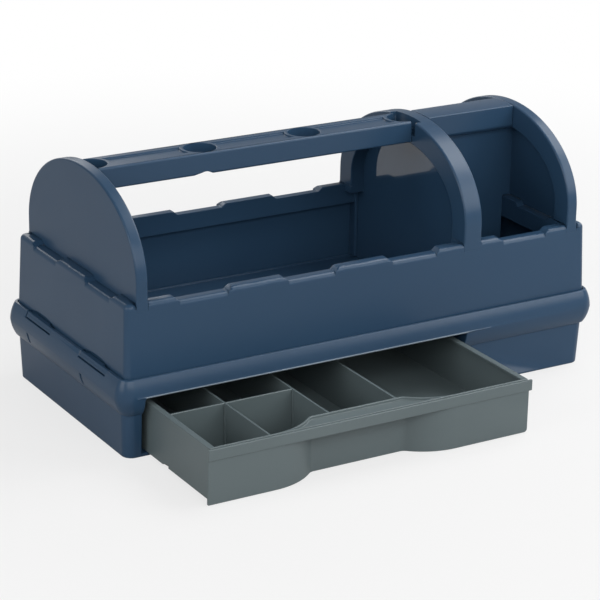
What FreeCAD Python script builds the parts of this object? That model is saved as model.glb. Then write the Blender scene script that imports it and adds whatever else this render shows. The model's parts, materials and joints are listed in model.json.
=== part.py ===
import FreeCAD, Part
import math
import os

# Tool caddy in millimetres. X runs along the length, -Y is the drawer side, +Z is up.
# The origin is the middle of the bottom face.

# Outline of the tray wall where it enters the housing
foot_length = 456.0
foot_depth = 209.4
foot_corner = 5.5
draft_angle = 2.0
wall = 3.0

# Heights, each one measured from the one before
floor_thickness = 3.0
opening_height = 51.5
lintel_step = 1.5
rim_overlap = 14.0
tray_wall_height = 61.6
arch_spring_height = 14.4
arch_rise = 74.0

# Fits
rim_gap = 0.3
seat_gap = 0.05
slide_gap = 0.3
floor_gap = 0.3

# Rounded bead round the housing rim
bead_ledge = 3.4
bead_bulge = 8.0
bead_toe = 2.6
bead_lower_height = 15.1
bead_sag = 1.0
tub_step = 1.0
tub_corner = 9.0
tub_edge_radius = 1.2

# Housing inside
seat_flange = 1.5
seat_width = 6.0
post_width = 14.2
bay_wall = 3.0
bay_wall_setback = 0.3
rail_width = 2.5
rail_height = 12.0
rail_gap = 0.5
end_slot_width = 2.8
end_slot_height = 9.0
end_slot_top_drop = 1.5
end_slot_depth = 6.4
end_slot_offset = 13.8
lintel_lip_height = 1.2
lintel_lip_proud = 1.0
lintel_lip_left_run = 7.0
lintel_lip_right_run = 25.0

# Tray rim
rim_width = 10.0
rim_plate = 2.8
rim_radius = 4.4
skirt = 2.5
skirt_height = 19.5
opening_corner = 4.0
scallop_depth = 3.4
scallop_length = 44.7
scallop_ramp = 4.3
end_scallop_near = 28.0
end_scallop_far = 72.0
guide_rib = 2.5
guide_reach = 1.5

# Tray floor plate
deck_thickness = 1.6
deck_lip = 0.8
deck_lip_width = 2.0

# Arched panels
end_shelf = 9.35
end_arch_thickness = 10.4
end_web = 3.0
middle_arch_thickness = 17.8
middle_web = 3.7
well_length = 91.0
ring_width = 20.5
ring_depth_at_top = 21.0
leg_foot = 6.6
arch_seam = 0.5
arch_edge_radius = 1.8
ring_edge_radius = 1.2

# Carrying handle
handle_width = 32.4
handle_height = 19.0
handle_drop = 1.2
handle_side = 7.5
handle_edge_radius = 2.0
handle_end_gap = 1.0
channel_depth = 1.6
cup_ring = 3.0
cup_diameter = 28.0
cup_depth = 8.5
cup_count = 3
grip_hollow = 4.5
grip_wall = 3.5
grip_end_wall = 9.0
tenon_width = 20.0
tenon_height = 11.0
tenon_length = 6.0
tenon_drop = 2.2
socket_width = 40.0
finger_notch_height = 2.6
finger_notch_shoulder = 2.0
finger_notch_lead = 5.4
finger_notch_ramp = 9.0
finger_notch_crown = 6.4
finger_notch_step = 4.2

# Bridge and partition of the well
bridge_width = 29.0
bridge_height = 19.0
bridge_wall = 2.5
bridge_roof = 5.0
bridge_bevel = 3.0
partition_thickness = 10.0
partition_skin = 2.5

# Rim clips
clip_setback = 52.7
clip_length = 47.5
clip_lead = 26.0
clip_height = 4.0
clip_inset = 1.2
clip_root_radius = 1.6
clip_slit = 1.4
clip_end_gap = 2.2
hook_reach = 2.2
hook_length = 30.0
hook_end = 6.0
window_half = 25.0
window_shoulder = 0.3
window_rise = 3.5
window_depth = 2.0

# Drawer
drawer_pull = 100.0
drawer_side_gap = 4.9
drawer_headroom = 7.1
drawer_wall = 2.2
drawer_floor = 2.2
drawer_lip = 5.5
drawer_back_gap = 9.5
front_flush = 0.7
front_thickness = 2.4
front_bottom = 0.5
front_side_gap = 2.8
lip_side_gap = 2.6
front_corner = 3.0
lip_height = 9.4
lip_proud = 1.0
lip_groove_width = 1.2
lip_groove_depth = 3.0
shelf_drop = 2.4
shelf_thickness = 2.0
shelf_overhang = 2.5
recess_depth = 16.5
recess_length = 82.0
recess_offset = -6.5
recess_curve = 44.0
recess_inner_radius = 8.0
front_seat = 0.1
stop_width = 12.0
stop_thickness = 3.0
stop_height = 0.9
stop_spacing = 240.0
catch_setback = 71.0
catch_length = 10.0
catch_height = 3.6

# Drawer dividers
divider_thickness = 2.0
divider_drop = 2.4
divider_fit = 0.1
long_divider_setback = 82.0
cross_first = 57.5
cross_pitch = 63.5

# Worked-out heights
opening_top = floor_thickness + opening_height
seat_z = opening_top + lintel_step
ledge_z = seat_z + rim_overlap
rim_z = ledge_z + tray_wall_height
low_rim_z = rim_z - scallop_depth
spring_z = rim_z + arch_spring_height
apex_z = spring_z + arch_rise
bead_toe_z = opening_top - bead_lower_height
deck_z = seat_z + deck_thickness

# Worked-out plan
slope = math.tan(math.radians(draft_angle))
half_foot_x = foot_length / 2
half_foot_y = foot_depth / 2
rim_inner = slope * rim_overlap + rim_gap
bead_half_x = half_foot_x + bead_bulge
bead_half_y = half_foot_y + bead_bulge
top_half_x = half_foot_x - slope * tray_wall_height
top_half_y = half_foot_y - slope * tray_wall_height
right_arch_x1 = top_half_x - end_shelf
right_arch_x0 = right_arch_x1 - end_arch_thickness
middle_x1 = right_arch_x0 - well_length
middle_x0 = middle_x1 - middle_arch_thickness
middle_web_x = middle_x1 - middle_web
pocket_x0 = -right_arch_x0
pocket_length = middle_x0 - pocket_x0
pitch = pocket_length / cup_count
rim_open_y = top_half_y - rim_width
bay_x0 = -half_foot_x + post_width
bay_x1 = middle_x0 - bay_wall_setback
handle_top = apex_z - handle_drop

# Worked-out places of the closed drawer
drawer_x0 = bay_x0 + drawer_side_gap
drawer_x1 = bay_x1 - drawer_side_gap
drawer_mid = (drawer_x0 + drawer_x1) / 2
drawer_bottom = floor_thickness + slide_gap
drawer_top = opening_top - drawer_headroom
drawer_back = half_foot_y - wall - drawer_back_gap
shelf_z = drawer_top - shelf_drop
front_y = -bead_half_y + front_flush
wall_x0 = bay_x0 + front_side_gap
wall_x1 = drawer_x1
lip_x1 = bay_x1 - lip_side_gap
tub_shift = front_thickness + front_seat
divider_z0 = drawer_bottom + drawer_floor + seat_gap
divider_z1 = drawer_top - divider_drop
lap_z = (divider_z0 + divider_z1) / 2
long_y = front_y + long_divider_setback
first_cross = drawer_x0 + cross_first
cross_names = ("left", "middle", "right")

# Reach of cutters: past a face, past the whole object, and how near an edge lies to a plane
past = wall
far = foot_length
near = seat_gap / 5


def vec(x, y, z):
    """Point in space."""
    return FreeCAD.Vector(x, y, z)


def block(x0, x1, y0, y1, z0, z1):
    """Box between two corners."""
    return Part.makeBox(x1 - x0, y1 - y0, z1 - z0, vec(x0, y0, z0))


def polygon(points):
    """Face inside straight edges through the points."""
    return Part.Face(Part.makePolygon(list(points) + [points[0]]))


def outline(half_x, half_y, radius, z):
    """Level rounded rectangle, starting on its +X side."""
    a = half_x - radius
    b = half_y - radius
    s = radius * math.sqrt(0.5)
    corners = [(a, b, 1, 1), (-a, b, -1, 1), (-a, -b, -1, -1), (a, -b, 1, -1)]
    ends = []
    for turn, (cx, cy, sx, sy) in enumerate(corners):
        on_x = vec(cx + sx * radius, cy, z)
        on_y = vec(cx, cy + sy * radius, z)
        middle = vec(cx + sx * s, cy + sy * s, z)
        first, last = (on_x, on_y) if turn % 2 == 0 else (on_y, on_x)
        ends.append((first, middle, last))
    edges = []
    for turn, (first, middle, last) in enumerate(ends):
        edges.append(Part.LineSegment(ends[turn - 1][2], first).toShape())
        edges.append(Part.Arc(first, middle, last).toShape())
    return Part.Wire(edges)


def slab(half_x, half_y, radius, z0, z1):
    """Upright plate with rounded corners."""
    return Part.Face(outline(half_x, half_y, radius, z0)).extrude(vec(0, 0, z1 - z0))


def tapered(half_x, half_y, radius, z0, z1, spread):
    """Plate whose sides lean by the draft; spread is +1 where it widens upwards."""
    grow = spread * slope * (z1 - z0)
    lower = outline(half_x, half_y, radius, z0)
    upper = outline(half_x + grow, half_y + grow, radius, z1)
    return Part.makeLoft([lower, upper], True, True)


def tray_half(z):
    """Half length and half depth of the tray wall at a height."""
    inward = slope * (z - ledge_z)
    return half_foot_x - inward, half_foot_y - inward


def tray_solid(z0, z1, inset):
    """Body inside the tray wall between two heights."""
    half_x, half_y = tray_half(z0)
    radius = max(foot_corner - inset, wall / 2)
    return tapered(half_x - inset, half_y - inset, radius, z0, z1, -1)


def top_edges(shape, z):
    """Edges that lie at one height."""
    found = []
    for edge in shape.Edges:
        box = edge.BoundBox
        if abs(box.ZMin - z) < near and abs(box.ZMax - z) < near:
            found.append(edge)
    return found


def bead_ring():
    """Rounded bead, swept round the foot of the tray."""
    path = outline(half_foot_x, half_foot_y, foot_corner, 0)
    start_y = path.Vertexes[0].Point.y

    def at(offset, z):
        return vec(half_foot_x + offset, start_y, z)

    def bulged(first, last):
        middle = (first + last) * 0.5
        run = last - first
        out = vec(-run.z, 0, run.x).normalize()
        return Part.Arc(first, middle + out * bead_sag, last).toShape()

    ledge = at(bead_ledge, ledge_z)
    crease = at(bead_bulge, opening_top)
    toe = at(bead_toe, bead_toe_z)
    inner_top = at(0, ledge_z)
    inner_toe = at(0, bead_toe_z)
    edges = [
        Part.LineSegment(inner_top, ledge).toShape(),
        bulged(ledge, crease),
        bulged(crease, toe),
        Part.LineSegment(toe, inner_toe).toShape(),
        Part.LineSegment(inner_toe, inner_top).toShape(),
    ]
    return path.makePipeShell([Part.Wire(edges)], True, False)


def clip_plan(side, root_y, grow):
    """Tongue outline in plan: a strip with a round root at its front end."""
    centre = half_foot_x + clip_inset + clip_root_radius
    radius = clip_root_radius + grow
    inner = half_foot_x - past if grow else half_foot_x + clip_inset
    slit = clip_slit if grow else 0
    end_gap = clip_end_gap if grow else 0
    x0, x1 = sorted((side * inner, side * (bead_half_x + past)))
    z0 = ledge_z - clip_height - slit
    z1 = ledge_z + past
    strip = block(x0, x1, root_y - grow, root_y + clip_length + end_gap, z0, z1)
    root = Part.makeCylinder(radius, z1 - z0, vec(side * centre, root_y, z0))
    return strip.fuse(root)


def clip_roots():
    """Name, side and root place of every rim clip."""
    roots = []
    for side_name, side in (("left", -1), ("right", 1)):
        for end_name, end in (("front", -1), ("rear", 1)):
            middle = end * (half_foot_y - clip_setback)
            roots.append((side_name + "_" + end_name + "_clip", side, middle - clip_lead))
    return roots


def rim_clip(bead, side, root_y):
    """Sprung tongue cut from the top lip of the bead, with its hook."""
    tongue = bead.common(clip_plan(side, root_y, 0))
    hook_y1 = root_y + clip_length - hook_end
    inner = half_foot_x + clip_inset
    x0, x1 = sorted((side * (inner - hook_reach), side * (inner + clip_root_radius)))
    hook = block(x0, x1, hook_y1 - hook_length, hook_y1, ledge_z - clip_height, ledge_z)
    return tongue.fuse(hook).removeSplitter()


def lintel_lip():
    """Thin lip over the drawer opening, running out into the bead at both ends."""
    face_y = -bead_half_y
    plan = [
        (bay_x0 - lintel_lip_left_run, face_y + past),
        (bay_x0 - lintel_lip_left_run, face_y),
        (bay_x0, face_y - lintel_lip_proud),
        (bay_x1, face_y - lintel_lip_proud),
        (bay_x1 + lintel_lip_right_run, face_y),
        (bay_x1 + lintel_lip_right_run, face_y + past),
    ]
    return polygon([vec(x, y, opening_top) for x, y in plan]).extrude(vec(0, 0, lintel_lip_height))


def base_housing(bead):
    """Lower tub with bead, drawer opening, bay wall and rails."""
    tub_top_x = half_foot_x + tub_step
    tub_top_y = half_foot_y + tub_step
    lean = slope * bead_toe_z
    bottom_x = tub_top_x - lean
    bottom_y = tub_top_y - lean
    tub = tapered(bottom_x, bottom_y, tub_corner, 0, bead_toe_z, 1)
    tub = tub.makeFillet(tub_edge_radius, top_edges(tub, 0))
    collar = slab(tub_top_x, tub_top_y, foot_corner + tub_step, bead_toe_z, ledge_z)
    outer = tub.fuse([collar, bead, lintel_lip()])

    cavity_grow = slope * floor_thickness - wall
    cavity_top = seat_z - seat_flange
    cavity = tapered(bottom_x + cavity_grow, bottom_y + cavity_grow, tub_corner - wall,
                     floor_thickness, bead_toe_z, 1)
    upper_cavity = slab(tub_top_x - wall, tub_top_y - wall, tub_corner - wall, bead_toe_z, cavity_top)
    throat = slab(half_foot_x - seat_width, half_foot_y - seat_width, foot_corner, cavity_top, seat_z)
    socket = slab(half_foot_x + rim_inner, half_foot_y + rim_inner, foot_corner + rim_inner, seat_z, ledge_z)
    body = outer.cut(cavity.fuse([upper_cavity, throat, socket]))

    bay_side = block(bay_x1, bay_x1 + bay_wall, -far, far, floor_thickness, seat_z).common(outer)
    rails = []
    rail_front = -half_foot_y + recess_depth + wall
    rail_top = floor_thickness + rail_height
    for x in (drawer_x0 - rail_gap - rail_width, drawer_x1 + rail_gap):
        rails.append(block(x, x + rail_width, rail_front, bottom_y - wall, floor_thickness, rail_top))
    body = body.fuse([bay_side] + rails)

    front_inside = -bottom_y + wall + past
    opening = block(bay_x0, bay_x1, -bead_half_y - past, front_inside, floor_thickness, opening_top)
    recess_x = drawer_mid + recess_offset
    relief_half = recess_length / 2 + recess_curve + slide_gap
    relief_back = front_y + recess_depth + front_thickness + slide_gap
    relief = block(recess_x - relief_half, recess_x + relief_half, -far, relief_back, -past, floor_thickness)
    cuts = [opening, relief]
    slot_top = opening_top - end_slot_top_drop
    slot_bottom = slot_top - end_slot_height
    for _, side, root_y in clip_roots():
        cuts.append(clip_plan(side, root_y, slide_gap))
        slot_y = root_y + clip_lead + end_slot_offset
        x0, x1 = sorted((side * (bead_half_x - end_slot_depth), side * (bead_half_x + past)))
        cuts.append(block(x0, x1, slot_y, slot_y + end_slot_width, slot_bottom, slot_top))
    return body.cut(cuts).removeSplitter()


def notch_prism(middle, length, z_low, z_high, along_x, reach0, reach1):
    """Scallop cutter: flat bottom, ramped sides, run from reach0 to reach1."""
    a = length / 2
    deep = z_low - rim_radius - past
    over = z_high + past
    slant = (over - z_low) / (z_high - z_low) * scallop_ramp
    pairs = [(-a, deep), (a, deep), (a, z_low), (a + slant, over), (-a - slant, over), (-a, z_low)]
    if along_x:
        face = polygon([vec(middle + u, reach0, z) for u, z in pairs])
        return face.extrude(vec(0, reach1 - reach0, 0))
    face = polygon([vec(reach0, middle + u, z) for u, z in pairs])
    return face.extrude(vec(reach1 - reach0, 0, 0))


def scallop_middles():
    """X of the low spans along the front and back rim."""
    pocket_mid = pocket_x0 + pocket_length / 2
    spans = [pocket_mid + (k - (cup_count - 1) / 2) * pitch for k in range(cup_count)]
    return spans + [middle_x1 + well_length / 2]


def rim_envelope():
    """Tray body with its scalloped rim, still filled."""
    low = tray_solid(seat_z, low_rim_z, 0)
    low = low.makeFillet(rim_radius, top_edges(low, low_rim_z))
    high = tray_solid(seat_z, rim_z, 0)
    high = high.makeFillet(rim_radius, top_edges(high, rim_z))
    cuts = []
    for side in (-1, 1):
        y0, y1 = sorted((side * (rim_open_y - past), side * (half_foot_y + past)))
        for middle in scallop_middles():
            cuts.append(notch_prism(middle, scallop_length, low_rim_z, rim_z, True, y0, y1))
        x0, x1 = sorted((side * (right_arch_x0 - past), side * (half_foot_x + past)))
        span = end_scallop_far - end_scallop_near
        for middle in (end_scallop_near + span / 2, -end_scallop_near - span / 2):
            cuts.append(notch_prism(middle, span, low_rim_z, rim_z, False, x0, x1))
    return high.cut(cuts).fuse(low).removeSplitter()


def leg_feet(x0, x1, grow):
    """Feet of one arch, let into the front and back rim."""
    inner = top_half_y - ring_width
    z0 = rim_z - leg_foot - grow
    feet = []
    for side in (-1, 1):
        y0, y1 = sorted((side * (inner - grow), side * (half_foot_y + past)))
        feet.append(block(x0 - grow, x1 + grow, y0, y1, z0, rim_z + grow))
    return feet


def arch_spans():
    """X range of the three arches."""
    return [(-right_arch_x1, -right_arch_x0), (middle_x0, middle_x1), (right_arch_x0, right_arch_x1)]


def tool_tray(envelope):
    """Upper shell: outer wall, rim plate and inner skirt."""
    rim_under = low_rim_z - rim_plate
    hollow = tray_solid(seat_z, rim_under, wall)
    skirt_z = rim_z - skirt_height
    collar = slab(right_arch_x0 + skirt, rim_open_y + skirt, opening_corner + skirt, skirt_z, rim_under)
    mouth = slab(right_arch_x0, rim_open_y, opening_corner, seat_z, rim_z + past)
    shell = envelope.cut(hollow).fuse(collar).cut(mouth)
    ribs = []
    rib_out = tray_half(rim_under)[1] - wall / 2
    for side in (-1, 1):
        for x in (middle_web_x - guide_rib - floor_gap, middle_x1 + floor_gap):
            y0, y1 = sorted((side * (rim_open_y - guide_reach), side * rib_out))
            ribs.append(block(x, x + guide_rib, y0, y1, deck_z + deck_lip + floor_gap, rim_under))
    shell = shell.fuse(ribs)
    cuts = []
    for x0, x1 in arch_spans():
        cuts += leg_feet(x0, x1, seat_gap)
    for _, side, root_y in clip_roots():
        cuts.append(clip_window(side, root_y + clip_lead))
    return shell.cut(cuts).removeSplitter()


def clip_window(side, middle_y):
    """Arched recess in the tray end wall behind one clip."""
    x0 = side * (half_foot_x - window_depth)
    low = ledge_z - clip_height - clip_slit
    shoulder = ledge_z - window_shoulder
    a = vec(x0, middle_y - window_half, low)
    b = vec(x0, middle_y - window_half, shoulder)
    c = vec(x0, middle_y, shoulder + window_rise)
    d = vec(x0, middle_y + window_half, shoulder)
    e = vec(x0, middle_y + window_half, low)
    edges = [
        Part.LineSegment(a, b).toShape(),
        Part.Arc(b, c, d).toShape(),
        Part.LineSegment(d, e).toShape(),
        Part.LineSegment(e, a).toShape(),
    ]
    return Part.Face(Part.Wire(edges)).extrude(vec(side * (window_depth + past), 0, 0))


def tray_floor():
    """Floor plate over the drawer bay, with a low lip at its edge."""
    half_x, half_y = tray_half(deck_z + deck_lip)
    half_x -= wall + floor_gap
    half_y -= wall + floor_gap
    plate = slab(half_x, half_y, foot_corner, seat_z + seat_gap, deck_z + deck_lip)
    plate = plate.cut(block(middle_x1, far, -far, far, 0, rim_z))
    pan = slab(half_x - deck_lip_width, half_y - deck_lip_width, foot_corner, deck_z, rim_z)
    return plate.cut(pan)


def half_ellipse(half_width, rise, z):
    """Upper half of an ellipse across the caddy, from +Y to -Y."""
    centre = vec(0, 0, z)
    top = vec(0, 0, z + rise)
    if half_width >= rise:
        curve = Part.Ellipse(vec(0, half_width, z), top, centre)
        return Part.ArcOfEllipse(curve, 0, math.pi).toShape()
    curve = Part.Ellipse(top, vec(0, -half_width, z), centre)
    return Part.ArcOfEllipse(curve, -math.pi / 2, math.pi / 2).toShape()


def arch_prism(half_width, rise, z0, x0, x1):
    """Arch-shaped body: two upright legs under a half ellipse."""
    crown = half_ellipse(half_width, rise, spring_z)
    right = Part.LineSegment(vec(0, half_width, z0), vec(0, half_width, spring_z)).toShape()
    left = Part.LineSegment(vec(0, -half_width, spring_z), vec(0, -half_width, z0)).toShape()
    base = Part.LineSegment(vec(0, -half_width, z0), vec(0, half_width, z0)).toShape()
    face = Part.Face(Part.Wire([right, crown, left, base]))
    face.translate(vec(x0, 0, 0))
    return face.extrude(vec(x1 - x0, 0, 0))


def face_edges(shape, x, z0):
    """Edges in one upright plane, above the bottom."""
    found = []
    for edge in shape.Edges:
        box = edge.BoundBox
        if abs(box.XMin - x) < near and abs(box.XMax - x) < near and box.ZMax > z0 + near:
            found.append(edge)
    return found


def ring_panel(x0, x1, web, open_side):
    """Arched panel: a ring with a thin web on the side away from open_side."""
    z0 = rim_z - leg_foot
    outer = arch_prism(top_half_y, arch_rise, z0, x0, x1)
    outer = outer.makeFillet(arch_edge_radius, face_edges(outer, x0, z0) + face_edges(outer, x1, z0))
    rise = arch_rise - ring_depth_at_top
    if open_side < 0:
        recess = arch_prism(top_half_y - ring_width, rise, z0 - past, x0 - past, x1 - web)
        mouth_x = x0
    else:
        recess = arch_prism(top_half_y - ring_width, rise, z0 - past, x0 + web, x1 + past)
        mouth_x = x1
    panel = outer.cut(recess)
    reach = top_half_y - ring_width + near
    inner = []
    for edge in face_edges(panel, mouth_x, z0):
        if edge.BoundBox.YMax < reach and edge.BoundBox.YMin > -reach:
            inner.append(edge)
    return panel.makeFillet(ring_edge_radius, inner)


def seated_panel(panel, envelope, outer_wall, x0, x1):
    """Cut a panel to stand on the scalloped rim, and give it its feet."""
    lifted = envelope.copy()
    lifted.translate(vec(0, 0, arch_seam))
    panel = panel.cut(lifted)
    feet = [foot.common(outer_wall) for foot in leg_feet(x0, x1, 0)]
    stubs = []
    stub_top = rim_z + arch_seam + arch_edge_radius
    a = x0 + arch_edge_radius
    b = x1 - arch_edge_radius
    for side in (-1, 1):
        y0, y1 = sorted((side * (top_half_y - ring_width), side * (top_half_y - arch_edge_radius)))
        stubs.append(block(a, b, y0, y1, rim_z - leg_foot, stub_top))
    return panel.fuse(feet + stubs).removeSplitter()


def handle_tenon(x0, x1, grow):
    """Tongue at one end of the handle."""
    z1 = handle_top - tenon_drop + grow
    z0 = z1 - tenon_height - 2 * grow
    half = tenon_width / 2 + grow
    return block(x0, x1, -half, half, z0, z1)


def end_arch(envelope, outer_wall, side):
    """Left or right end panel; the left one holds the handle."""
    x0, x1 = sorted((side * right_arch_x0, side * right_arch_x1))
    panel = ring_panel(x0, x1, end_web, -side)
    panel = seated_panel(panel, envelope, outer_wall, x0, x1)
    if side < 0:
        panel = panel.cut(handle_tenon(x1 - tenon_length - seat_gap, x1 + past, seat_gap))
    return panel


def middle_arch(envelope, outer_wall):
    """Panel between tray and well; its web goes down to the tray floor."""
    panel = ring_panel(middle_x0, middle_x1, middle_web, -1)
    panel = seated_panel(panel, envelope, outer_wall, middle_x0, middle_x1)
    half = rim_open_y - seat_gap
    plate = block(middle_web_x, middle_x1, -half, half, deck_z + seat_gap, rim_z + arch_seam)
    socket_low = handle_top - tenon_drop - tenon_height - seat_gap
    a = socket_width / 2
    socket = block(middle_x0 - past, middle_x0 + tenon_length, -a, a, socket_low, apex_z)
    return panel.fuse(plate).cut(socket).removeSplitter()


def finger_notch(bottom):
    """Crowned notch cut across the underside of the handle."""
    x1 = pocket_x0 + pitch - finger_notch_lead
    x2 = x1 + finger_notch_crown
    shoulder_z = bottom + finger_notch_shoulder
    a = vec(x1 - finger_notch_ramp, -far, bottom)
    b = vec(x1, -far, shoulder_z)
    c = vec((x1 + x2) / 2, -far, bottom + finger_notch_height)
    d = vec(x2, -far, shoulder_z)
    e = vec(x2 + finger_notch_step, -far, bottom)
    edges = [
        Part.LineSegment(a, b).toShape(),
        Part.Arc(b, c, d).toShape(),
        Part.LineSegment(d, e).toShape(),
        Part.LineSegment(e, a).toShape(),
    ]
    return Part.Face(Part.Wire(edges)).extrude(vec(0, 2 * far, 0))


def carry_handle():
    """Handle bar: channelled top, round cups, hollow underside and end tongues."""
    x0 = pocket_x0 + seat_gap
    x1 = middle_x0 - handle_end_gap
    half = handle_width / 2
    bottom = handle_top - handle_height
    bar = block(x0, x1, -half, half, bottom, handle_top)
    long_edges = [e for e in bar.Edges if e.BoundBox.XLength > pocket_length / 2]
    bar = bar.makeFillet(handle_edge_radius, long_edges)
    channel_half = half - handle_side
    channel_z = handle_top - channel_depth
    channel = block(x0 - past, x1 + past, -channel_half, channel_half, channel_z, handle_top + past)
    hollow_half = half - grip_wall
    hollow_x0 = x0 + grip_end_wall
    hollow_x1 = x1 - grip_end_wall
    hollow = block(hollow_x0, hollow_x1, -hollow_half, hollow_half, bottom - past, bottom + grip_hollow)
    tenons = [
        handle_tenon(x0 - tenon_length, x0 + grip_end_wall, 0),
        handle_tenon(x1 - grip_end_wall, middle_x0 + tenon_length - seat_gap, 0),
    ]
    cup_radius = cup_diameter / 2
    cups = []
    rings = []
    for k in range(cup_count + 1):
        cup_foot = vec(pocket_x0 + k * pitch, 0, handle_top - cup_depth)
        cups.append(Part.makeCylinder(cup_radius, cup_depth + past, cup_foot))
        rings.append(Part.makeCylinder(cup_radius + cup_ring, cup_depth + 2 * past, cup_foot))
    cuts = [channel.cut(rings), hollow, finger_notch(bottom)]
    return bar.cut(cuts).fuse(tenons).cut(cups).removeSplitter()


def well_bridge():
    """Capping bar over the well, open underneath."""
    x0 = middle_x1 + seat_gap
    x1 = right_arch_x0 - seat_gap
    half = bridge_width / 2
    low = apex_z - bridge_height
    inside = half - bridge_wall
    crown = arch_prism(top_half_y, arch_rise, seat_z, x0, x1)
    bar = crown.common(block(x0, x1, -half, half, low, apex_z + past))
    foot_z = low - bridge_bevel
    foot = [(half, low), (-half, low), (-inside, foot_z), (inside, foot_z)]
    bar = bar.fuse(polygon([vec(x0, y, z) for y, z in foot]).extrude(vec(x1 - x0, 0, 0)))
    a = partition_thickness / 2 + seat_gap
    hollow = block(x0 - past, x1 + past, -a, a, foot_z - past, apex_z - bridge_roof)
    return bar.cut(hollow).removeSplitter()


def well_partition():
    """Hollow upright wall between the two halves of the well."""
    x0 = middle_x1 + seat_gap
    half = partition_thickness / 2
    top = apex_z - bridge_roof - seat_gap
    in_ring = right_arch_x1 - end_web - seat_gap
    above_rim = rim_z + arch_seam
    ring_under = apex_z - ring_depth_at_top - ring_edge_radius
    x1 = right_arch_x0 - seat_gap
    lower = block(x0, x1, -half, half, floor_thickness + seat_gap, top)
    upper = block(x0, in_ring, -half, half, above_rim, ring_under)
    a = x0 + partition_skin
    b = x1 - partition_skin
    inside = half - partition_skin
    hollow = block(a, b, -inside, inside, floor_thickness, top - partition_skin)
    return lower.fuse(upper).cut(hollow).removeSplitter()


def front_curve(shift, x0, x1):
    """Plan line of the drawer front from x0 to x1, moved back by shift."""
    y = front_y + shift
    back = y + recess_depth
    middle = drawer_mid + recess_offset
    inner = recess_length / 2
    outer = inner + recess_curve
    both_radii = (recess_curve ** 2 + recess_depth ** 2) / (2 * recess_depth)
    outer_radius = both_radii - recess_inner_radius
    turn = math.asin(recess_curve / both_radii)

    def on_arc(radius, angle):
        return radius * math.sin(angle), radius * (1 - math.cos(angle))

    bends = []
    for side in (-1, 1):
        half_out = on_arc(outer_radius, turn / 2)
        full_out = on_arc(outer_radius, turn)
        half_in = on_arc(recess_inner_radius, turn / 2)
        bends.append((
            vec(middle + side * outer, y, 0),
            vec(middle + side * (outer - half_out[0]), y + half_out[1], 0),
            vec(middle + side * (outer - full_out[0]), y + full_out[1], 0),
            vec(middle + side * (inner + half_in[0]), back - half_in[1], 0),
            vec(middle + side * inner, back, 0),
        ))
    (a, b, c, d, e), (j, i, h, g, f) = bends
    return [
        Part.LineSegment(vec(x0, y, 0), a).toShape(),
        Part.Arc(a, b, c).toShape(),
        Part.Arc(c, d, e).toShape(),
        Part.LineSegment(e, f).toShape(),
        Part.Arc(f, g, h).toShape(),
        Part.Arc(h, i, j).toShape(),
        Part.LineSegment(j, vec(x1, y, 0)).toShape(),
    ]


def upright(edges, z0, z1):
    """Body between two heights over a closed plan."""
    face = Part.Face(Part.Wire(Part.__sortEdges__(edges)))
    face.translate(vec(0, 0, z0))
    return face.extrude(vec(0, 0, z1 - z0))


def curved_wall(shift0, shift1, z0, z1):
    """Upright wall between two shifted copies of the front line."""
    near = front_curve(shift0, wall_x0, wall_x1)
    rear = front_curve(shift1, wall_x0, wall_x1)
    ends = []
    for x in (wall_x0, wall_x1):
        ends.append(Part.LineSegment(vec(x, front_y + shift0, 0), vec(x, front_y + shift1, 0)).toShape())
    return upright(near + rear + ends, z0, z1)


def behind_front(shift, z0, z1):
    """Everything behind the shifted front line, as far as the drawer back."""
    front = front_curve(shift, drawer_x0, drawer_x1)
    corners = [
        vec(drawer_x1, front_y + shift, 0),
        vec(drawer_x1, drawer_back, 0),
        vec(drawer_x0, drawer_back, 0),
        vec(drawer_x0, front_y + shift, 0),
    ]
    sides = [Part.LineSegment(p, q).toShape() for p, q in zip(corners, corners[1:])]
    return upright(front + sides, z0, z1)


def catch_tooth(x0):
    """Saw-tooth cutter for the catch notch at the foot of one drawer side."""
    y0 = front_y + catch_setback
    y1 = y0 + catch_length
    low = drawer_bottom - past
    points = [(y0, low), (y0, drawer_bottom + catch_height), (y1, drawer_bottom), (y1, low)]
    return polygon([vec(x0, y, z) for y, z in points]).extrude(vec(drawer_wall, 0, 0))


def drawer_tub():
    """Drawer body, built closed: walls, floor, top lips, shelf, stops and catch notches."""
    body = behind_front(tub_shift, drawer_bottom, drawer_top)
    inside = behind_front(tub_shift + drawer_wall, drawer_bottom + drawer_floor, drawer_top + past)
    inner_x0 = drawer_x0 + drawer_wall
    inner_x1 = drawer_x1 - drawer_wall
    inside = inside.common(block(inner_x0, inner_x1, -far, drawer_back - drawer_wall, 0, rim_z))
    body = body.cut(inside)
    strip_y = front_y + tub_shift
    lips = []
    for x0, x1 in ((drawer_x0, drawer_x0 + drawer_lip), (drawer_x1 - drawer_lip, drawer_x1)):
        lips.append(block(x0, x1, strip_y, drawer_back, drawer_top - drawer_wall, drawer_top))
    shelf_z0 = shelf_z - shelf_thickness
    strip = block(drawer_x0, drawer_x1, strip_y, strip_y + drawer_wall, shelf_z0, drawer_top)
    shelf_edge = tub_shift + drawer_wall + shelf_overhang
    shelf_y1 = front_y + shelf_edge + recess_depth
    shelf = block(inner_x0, inner_x1, strip_y, shelf_y1, shelf_z0, shelf_z)
    shelf = shelf.cut(behind_front(shelf_edge, 0, rim_z))
    stops = []
    stop_y = drawer_back - stop_thickness
    stop_z0 = drawer_top - lip_height
    stop_z1 = opening_top + stop_height
    for side in (-1, 1):
        x0 = drawer_mid + side * stop_spacing / 2 - stop_width / 2
        stops.append(block(x0, x0 + stop_width, stop_y, drawer_back, stop_z0, stop_z1))
    body = body.fuse(lips + [strip, shelf] + stops)
    return body.cut([catch_tooth(drawer_x0), catch_tooth(drawer_x1 - drawer_wall)]).removeSplitter()


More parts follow.
